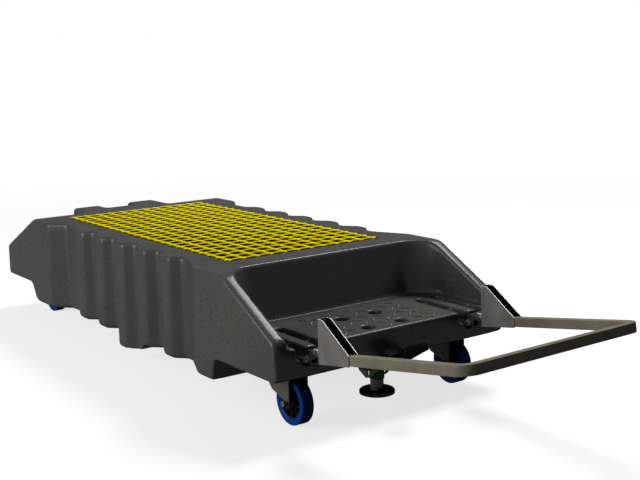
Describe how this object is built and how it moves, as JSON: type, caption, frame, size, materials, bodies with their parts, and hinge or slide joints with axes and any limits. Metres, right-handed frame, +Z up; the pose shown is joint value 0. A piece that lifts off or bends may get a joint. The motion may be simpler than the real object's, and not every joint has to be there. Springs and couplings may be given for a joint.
{
  "type": "waste oil trolley",
  "caption": "Low wheeled drip trolley: ribbed moulded sump under a lift-out grating, front shelf bay, fold-up towing handle, swivel and fixed wheels, pedal floor lock.",
  "frame": {"origin": "centre of the trolley's outline on the floor, handle lowered", "axes": "+Z up, +Y along the trolley from the handle end to the rear end, +X across it"},
  "size_m": [0.6356, 1.979, 0.313],
  "materials": {
    "polyethylene": "satin, fine grain",
    "grating_yellow": "satin",
    "stainless": "brushed",
    "zinc": "bright zinc plated",
    "blue_tyre": "satin",
    "black_nylon": "satin",
    "green_plastic": "satin",
    "black_steel": "gloss black",
    "black_rubber": "matte"
  },
  "bodies": {
    "chassis": {"body_shell": "polyethylene", "mount_tube_left": "stainless", "mount_tube_right": "stainless", "hinge_lug_left": "stainless", "hinge_lug_right": "stainless", "hinge_pin_left": "zinc", "hinge_pin_right": "zinc", "tube_bolts": "zinc", "tube_nuts": "zinc", "front_plate_left": "zinc", "front_plate_right": "zinc", "swivel_ring_left": "zinc", "swivel_ring_right": "zinc", "kingpin_left": "zinc", "kingpin_right": "zinc", "rear_fork_left": "stainless", "rear_fork_right": "stainless", "rear_axle_left": "zinc", "rear_axle_right": "zinc", "rear_axle_nut_left": "zinc", "rear_axle_nut_right": "zinc", "plate_bolts": "zinc", "lock_housing": "stainless", "lock_sleeve": "green_plastic", "lock_pivot_pin": "zinc"},
    "grating_panel": {"grating": "grating_yellow"},
    "handle": {"handle_tube": "stainless", "gusset_left": "stainless", "gusset_right": "stainless"},
    "lock_plunger": {"lock_stem": "zinc", "lock_foot": "black_steel", "lock_pad": "black_rubber", "lock_cross_pin": "zinc"},
    "lock_lever": {"lock_pedal": "black_steel", "lock_pedal_tread": "black_rubber"},
    "front_caster_left": {"front_fork_left": "stainless", "front_axle_left": "zinc", "front_axle_nut_left": "zinc"},
    "front_wheel_left": {"front_rim_left": "black_nylon", "front_tyre_left": "blue_tyre", "front_bush_left": "stainless"},
    "rear_wheel_left": {"rear_rim_left": "black_nylon", "rear_tyre_left": "blue_tyre", "rear_bush_left": "stainless"},
    "front_caster_right": {"front_fork_right": "stainless", "front_axle_right": "zinc", "front_axle_nut_right": "zinc"},
    "front_wheel_right": {"front_rim_right": "black_nylon", "front_tyre_right": "blue_tyre", "front_bush_right": "stainless"},
    "rear_wheel_right": {"rear_rim_right": "black_nylon", "rear_tyre_right": "blue_tyre", "rear_bush_right": "stainless"}
  },
  "joints": [
    {"name": "grating_lift", "type": "slide", "parent": "chassis", "child": "grating_panel", "axis": [0, 0, 1], "range_m": [0, 0.06]},
    {"name": "handle_fold", "type": "hinge", "parent": "chassis", "child": "handle", "pos_m": [0, -0.5535, 0.1804], "axis": [-1, 0, 0], "range_deg": [0, 94.5]},
    {"name": "front_swivel_left", "type": "hinge", "parent": "chassis", "child": "front_caster_left", "pos_m": [-0.224, -0.4175, 0.105], "axis": [0, 0, 1], "continuous": true},
    {"name": "front_spin_left", "type": "hinge", "parent": "front_caster_left", "child": "front_wheel_left", "pos_m": [-0.224, -0.4575, 0.05], "axis": [1, 0, 0], "continuous": true},
    {"name": "rear_spin_left", "type": "hinge", "parent": "chassis", "child": "rear_wheel_left", "pos_m": [-0.209, 0.8745, 0.05], "axis": [1, 0, 0], "continuous": true},
    {"name": "front_swivel_right", "type": "hinge", "parent": "chassis", "child": "front_caster_right", "pos_m": [0.224, -0.4175, 0.105], "axis": [0, 0, 1], "continuous": true},
    {"name": "front_spin_right", "type": "hinge", "parent": "front_caster_right", "child": "front_wheel_right", "pos_m": [0.224, -0.4575, 0.05], "axis": [1, 0, 0], "continuous": true},
    {"name": "rear_spin_right", "type": "hinge", "parent": "chassis", "child": "rear_wheel_right", "pos_m": [0.209, 0.8745, 0.05], "axis": [1, 0, 0], "continuous": true},
    {"name": "pedal_press", "type": "hinge", "parent": "chassis", "child": "lock_lever", "pos_m": [0, -0.4225, 0.086], "axis": [1, 0, 0], "range_deg": [0, 31.1]},
    {"name": "foot_drop", "type": "slide", "parent": "chassis", "child": "lock_plunger", "axis": [0, 0, -1], "range_m": [0, 0.019], "stiffness_N_per_m": 1500, "springref_m": -0.02}
  ],
  "couplings": [
    {"joint": "foot_drop", "follows": "pedal_press", "m_per_rad": 0.035}
  ]
}
